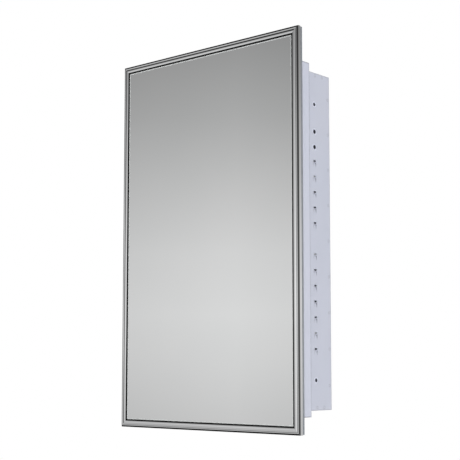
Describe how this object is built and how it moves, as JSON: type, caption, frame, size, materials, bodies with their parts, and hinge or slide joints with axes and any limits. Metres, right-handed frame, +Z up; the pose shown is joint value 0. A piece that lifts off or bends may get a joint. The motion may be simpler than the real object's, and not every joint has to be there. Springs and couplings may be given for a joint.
{
  "type": "recessed medicine cabinet with mirror door",
  "caption": "Recessed sheet-steel medicine cabinet with a stepped collar, glass shelves and a framed mirror door on a full-height hinge.",
  "frame": {"origin": "centre of the back panel's outer face", "axes": "+X to the right of someone facing the mirror, +Y into the wall, +Z up; the door faces -Y"},
  "size_m": [0.4064, 0.109, 0.6604],
  "materials": {
    "painted_steel": "baked enamel, pale cool white, satin",
    "polished_stainless": "bright polished stainless strip",
    "galvanised_steel": "galvanised sheet, fine spangle",
    "hinge_stainless": "satin stainless",
    "zinc_steel": "bright zinc plate",
    "shelf_glass": "clear with polished, slightly green edges",
    "mirror": "silvered plate glass",
    "gasket_rubber": "black, satin",
    "bumper_rubber": "pale translucent",
    "catch_plastic": "white, fine matte",
    "magnet": "sintered ferrite, matte",
    "foam": "closed-cell foam, charcoal",
    "hardboard": "tempered hardboard"
  },
  "bodies": {
    "cabinet": {"back_panel": "painted_steel", "left_side_panel": "painted_steel", "right_side_panel": "painted_steel", "top_panel": "painted_steel", "bottom_panel": "painted_steel", "collar_rail_left": "painted_steel", "collar_rail_right": "painted_steel", "collar_rail_top": "painted_steel", "collar_rail_bottom": "painted_steel", "upper_shelf_glass": "shelf_glass", "middle_shelf_glass": "shelf_glass", "lower_shelf_glass": "shelf_glass", "upper_shelf_brackets": "zinc_steel", "middle_shelf_brackets": "zinc_steel", "lower_shelf_brackets": "zinc_steel", "catch_housing": "catch_plastic", "catch_magnet": "magnet", "catch_pole_plates": "zinc_steel", "catch_screws": "zinc_steel", "door_bumpers": "bumper_rubber", "hinge_leaf_cabinet": "hinge_stainless", "hinge_pin": "zinc_steel", "hinge_rivets_cabinet": "zinc_steel"},
    "door": {"door_trim_left": "polished_stainless", "door_trim_right": "polished_stainless", "door_trim_top": "polished_stainless", "door_trim_bottom": "polished_stainless", "corner_keys": "zinc_steel", "glazing_gasket": "gasket_rubber", "mirror_glass": "mirror", "foam_pad": "foam", "backing_board": "hardboard", "door_pan": "galvanised_steel", "hinge_leaf_door": "hinge_stainless", "hinge_rivets_door": "zinc_steel", "strike_plate": "zinc_steel", "strike_rivets": "zinc_steel"}
  },
  "joints": [
    {"name": "door_hinge", "type": "hinge", "parent": "cabinet", "child": "door", "pos_m": [-0.1983, -0.0932, 0], "axis": [0, 0, -1], "range_deg": [0, 135]}
  ]
}
